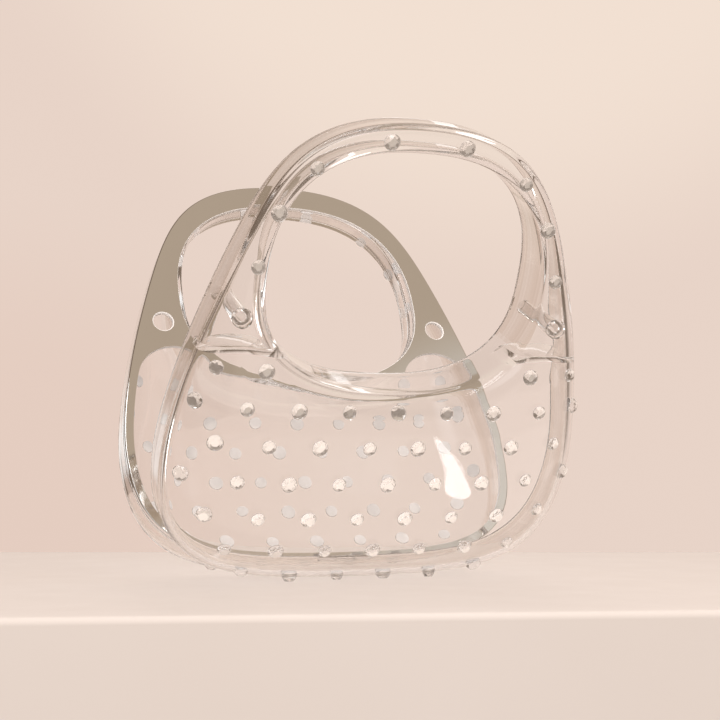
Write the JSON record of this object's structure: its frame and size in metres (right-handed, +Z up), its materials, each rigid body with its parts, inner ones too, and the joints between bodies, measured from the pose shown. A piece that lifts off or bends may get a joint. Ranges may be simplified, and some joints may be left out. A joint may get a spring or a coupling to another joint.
{
  "type": "acrylic handbag",
  "caption": "Clear acrylic handbag in two hollow hinged halves with a rounded handle loop, a mirrored frame on the meeting face, guide pegs and a field of crystal stones.",
  "frame": {"origin": "on the surface that the open bag stands on, under the middle of the hinge", "axes": "+X along the hinge, -Y towards the front half without the mirror, +Z up"},
  "size_m": [0.1986, 0.2068, 0.2014],
  "materials": {
    "clear_acrylic": "polished clear acrylic",
    "mirror_silver": "mirror",
    "hinge_steel": "plain"
  },
  "bodies": {
    "front_half": {"front_shell": "clear_acrylic", "peg_left": "clear_acrylic", "peg_right": "clear_acrylic"},
    "rear_half": {"rear_shell": "clear_acrylic", "mirror_plate": "mirror_silver", "hinge_pin": "hinge_steel"}
  },
  "joints": [
    {"name": "shell_hinge", "type": "hinge", "parent": "front_half", "child": "rear_half", "pos_m": [0, 0, 0.0076], "axis": [1, 0, 0], "range_deg": [0, 50]}
  ]
}
